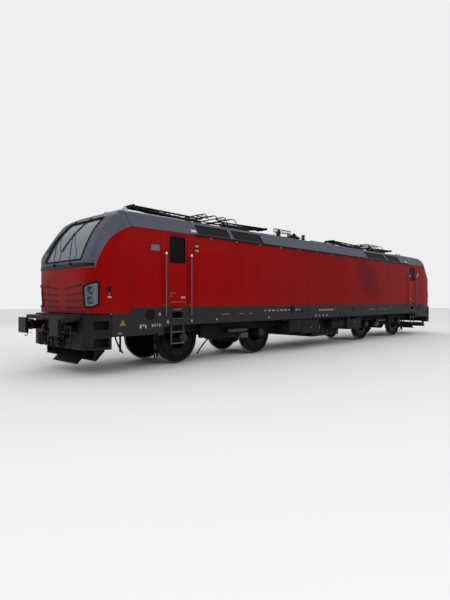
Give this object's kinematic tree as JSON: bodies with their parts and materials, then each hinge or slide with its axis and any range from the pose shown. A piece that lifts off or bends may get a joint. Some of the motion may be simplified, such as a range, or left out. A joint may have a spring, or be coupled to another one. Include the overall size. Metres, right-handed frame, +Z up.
{
  "type": "four-axle electric locomotive",
  "caption": "Full-size electric locomotive with a cab at each end, swivelling bogies on turning wheelsets, opening cab doors and folding roof pantographs.",
  "frame": {"origin": "middle of the vehicle, at the lowest points of the wheel flanges; the rail top is at Z 0.03", "axes": "+X from the front cab to the rear cab along the vehicle, +Y across it, +Z up"},
  "size_m": [18.98, 3.156, 4.1646],
  "materials": {
    "frame_grey": "satin, dusty",
    "body_red": "gloss",
    "roof_grey": "satin",
    "glass": "tinted",
    "lamp_silver": "polished",
    "interior_grey": "matt",
    "interior_dark": "grained",
    "seat_cloth": "woven",
    "tread_grey": "chequered",
    "buffer_steel": "greasy",
    "coupling_steel": "oiled",
    "hose_rubber": "matt",
    "plough_steel": "worn",
    "bright_steel": "brushed",
    "louvre_grey": "matt",
    "equipment_grey": "dusty",
    "insulator": "ribbed",
    "copper": "weathered",
    "roof_gear_grey": "satin",
    "antenna_white": "matt",
    "pantograph_grey": "satin",
    "wheel_steel": "rusty web, bright tread",
    "bogie_steel": "dusty",
    "spring_steel": "dusty"
  },
  "bodies": {
    "carbody": {"underframe": "frame_grey", "side_walls": "body_red", "roof_hatches": "roof_grey", "cab_roofs": "roof_grey", "nose_shells": "body_red", "windscreen_frames": "roof_grey", "windscreens": "glass", "headlights": "lamp_silver", "cab_bulkheads": "interior_grey", "driver_desks": "interior_dark", "driver_seats": "seat_cloth", "headstocks": "frame_grey", "end_platforms": "tread_grey", "buffers": "buffer_steel", "couplings": "coupling_steel", "brake_hoses": "hose_rubber", "snow_ploughs": "plough_steel", "handrails": "bright_steel", "ladders": "bright_steel", "roof_louvres": "louvre_grey", "transformer": "equipment_grey", "underfloor_boxes": "equipment_grey", "air_tanks": "equipment_grey", "roof_insulators": "insulator", "busbars": "copper", "switchgear": "roof_gear_grey", "antennas": "antenna_white", "pantograph_bases": "pantograph_grey"},
    "bogie_front": {"bogie_frame_front": "bogie_steel", "traction_motors_front": "bogie_steel", "suspension_front": "spring_steel"},
    "bogie_rear": {"bogie_frame_rear": "bogie_steel", "traction_motors_rear": "bogie_steel", "suspension_rear": "spring_steel"},
    "wheelset_1": {"wheelset_1": "wheel_steel"},
    "wheelset_2": {"wheelset_2": "wheel_steel"},
    "wheelset_3": {"wheelset_3": "wheel_steel"},
    "wheelset_4": {"wheelset_4": "wheel_steel"},
    "door_front_left": {"door_front_left": "body_red"},
    "door_front_right": {"door_front_right": "body_red"},
    "door_rear_left": {"door_rear_left": "body_red"},
    "door_rear_right": {"door_rear_right": "body_red"},
    "pantograph_1_lower_arm": {"pantograph_1_lower_arm": "pantograph_grey"},
    "pantograph_1_upper_arm": {"pantograph_1_upper_arm": "pantograph_grey"},
    "pantograph_1_head": {"pantograph_1_head": "pantograph_grey"},
    "pantograph_2_lower_arm": {"pantograph_2_lower_arm": "pantograph_grey"},
    "pantograph_2_upper_arm": {"pantograph_2_upper_arm": "pantograph_grey"},
    "pantograph_2_head": {"pantograph_2_head": "pantograph_grey"},
    "pantograph_3_lower_arm": {"pantograph_3_lower_arm": "pantograph_grey"},
    "pantograph_3_upper_arm": {"pantograph_3_upper_arm": "pantograph_grey"},
    "pantograph_3_head": {"pantograph_3_head": "pantograph_grey"},
    "pantograph_4_lower_arm": {"pantograph_4_lower_arm": "pantograph_grey"},
    "pantograph_4_upper_arm": {"pantograph_4_upper_arm": "pantograph_grey"},
    "pantograph_4_head": {"pantograph_4_head": "pantograph_grey"}
  },
  "joints": [
    {"name": "bogie_front_swivel", "type": "hinge", "parent": "carbody", "child": "bogie_front", "pos_m": [-4.75, 0, 1], "axis": [0, 0, 1], "range_deg": [-3.5, 3.5]},
    {"name": "bogie_rear_swivel", "type": "hinge", "parent": "carbody", "child": "bogie_rear", "pos_m": [4.75, 0, 1], "axis": [0, 0, 1], "range_deg": [-3.5, 3.5]},
    {"name": "wheelset_1_spin", "type": "hinge", "parent": "bogie_front", "child": "wheelset_1", "pos_m": [-6.25, 0, 0.655], "axis": [0, 1, 0], "continuous": true},
    {"name": "wheelset_2_spin", "type": "hinge", "parent": "bogie_front", "child": "wheelset_2", "pos_m": [-3.25, 0, 0.655], "axis": [0, 1, 0], "continuous": true},
    {"name": "wheelset_3_spin", "type": "hinge", "parent": "bogie_rear", "child": "wheelset_3", "pos_m": [3.25, 0, 0.655], "axis": [0, 1, 0], "continuous": true},
    {"name": "wheelset_4_spin", "type": "hinge", "parent": "bogie_rear", "child": "wheelset_4", "pos_m": [6.25, 0, 0.655], "axis": [0, 1, 0], "continuous": true},
    {"name": "door_front_left_swing", "type": "hinge", "parent": "carbody", "child": "door_front_left", "pos_m": [-6.476, -1.428, 2.4], "axis": [0, 0, -1], "range_deg": [0, 90]},
    {"name": "door_front_right_swing", "type": "hinge", "parent": "carbody", "child": "door_front_right", "pos_m": [-6.476, 1.428, 2.4], "axis": [0, 0, 1], "range_deg": [0, 90]},
    {"name": "door_rear_left_swing", "type": "hinge", "parent": "carbody", "child": "door_rear_left", "pos_m": [6.476, -1.428, 2.4], "axis": [0, 0, 1], "range_deg": [0, 90]},
    {"name": "door_rear_right_swing", "type": "hinge", "parent": "carbody", "child": "door_rear_right", "pos_m": [6.476, 1.428, 2.4], "axis": [0, 0, -1], "range_deg": [0, 90]},
    {"name": "pantograph_1_raise", "type": "hinge", "parent": "carbody", "child": "pantograph_1_lower_arm", "pos_m": [-5.45, 0, 4.01], "axis": [0, 1, 0], "range_deg": [0, 45]},
    {"name": "pantograph_1_knee", "type": "hinge", "parent": "pantograph_1_lower_arm", "child": "pantograph_1_upper_arm", "pos_m": [-7.19714, 0, 4.11], "axis": [0, 1, 0], "range_deg": [-90, 0]},
    {"name": "pantograph_1_level", "type": "hinge", "parent": "pantograph_1_upper_arm", "child": "pantograph_1_head", "pos_m": [-4.998, 0, 4.07], "axis": [0, 1, 0], "range_deg": [0, 45]},
    {"name": "pantograph_2_raise", "type": "hinge", "parent": "carbody", "child": "pantograph_2_lower_arm", "pos_m": [-3.82, 0, 4.01], "axis": [0, -1, 0], "range_deg": [0, 45]},
    {"name": "pantograph_2_knee", "type": "hinge", "parent": "pantograph_2_lower_arm", "child": "pantograph_2_upper_arm", "pos_m": [-2.07286, 0, 4.11], "axis": [0, -1, 0], "range_deg": [-90, 0]},
    {"name": "pantograph_2_level", "type": "hinge", "parent": "pantograph_2_upper_arm", "child": "pantograph_2_head", "pos_m": [-4.272, 0, 4.07], "axis": [0, -1, 0], "range_deg": [0, 45]},
    {"name": "pantograph_3_raise", "type": "hinge", "parent": "carbody", "child": "pantograph_3_lower_arm", "pos_m": [3.82, 0, 4.01], "axis": [0, 1, 0], "range_deg": [0, 45]},
    {"name": "pantograph_3_knee", "type": "hinge", "parent": "pantograph_3_lower_arm", "child": "pantograph_3_upper_arm", "pos_m": [2.07286, 0, 4.11], "axis": [0, 1, 0], "range_deg": [-90, 0]},
    {"name": "pantograph_3_level", "type": "hinge", "parent": "pantograph_3_upper_arm", "child": "pantograph_3_head", "pos_m": [4.272, 0, 4.07], "axis": [0, 1, 0], "range_deg": [0, 45]},
    {"name": "pantograph_4_raise", "type": "hinge", "parent": "carbody", "child": "pantograph_4_lower_arm", "pos_m": [5.45, 0, 4.01], "axis": [0, -1, 0], "range_deg": [0, 45]},
    {"name": "pantograph_4_knee", "type": "hinge", "parent": "pantograph_4_lower_arm", "child": "pantograph_4_upper_arm", "pos_m": [7.19714, 0, 4.11], "axis": [0, -1, 0], "range_deg": [-90, 0]},
    {"name": "pantograph_4_level", "type": "hinge", "parent": "pantograph_4_upper_arm", "child": "pantograph_4_head", "pos_m": [4.998, 0, 4.07], "axis": [0, -1, 0], "range_deg": [0, 45]}
  ],
  "couplings": [
    {"joint": "pantograph_1_knee", "follows": "pantograph_1_raise", "ratio": -1.96},
    {"joint": "pantograph_1_level", "follows": "pantograph_1_raise", "ratio": 0.96},
    {"joint": "pantograph_2_knee", "follows": "pantograph_2_raise", "ratio": -1.96},
    {"joint": "pantograph_2_level", "follows": "pantograph_2_raise", "ratio": 0.96},
    {"joint": "pantograph_3_knee", "follows": "pantograph_3_raise", "ratio": -1.96},
    {"joint": "pantograph_3_level", "follows": "pantograph_3_raise", "ratio": 0.96},
    {"joint": "pantograph_4_knee", "follows": "pantograph_4_raise", "ratio": -1.96},
    {"joint": "pantograph_4_level", "follows": "pantograph_4_raise", "ratio": 0.96}
  ]
}
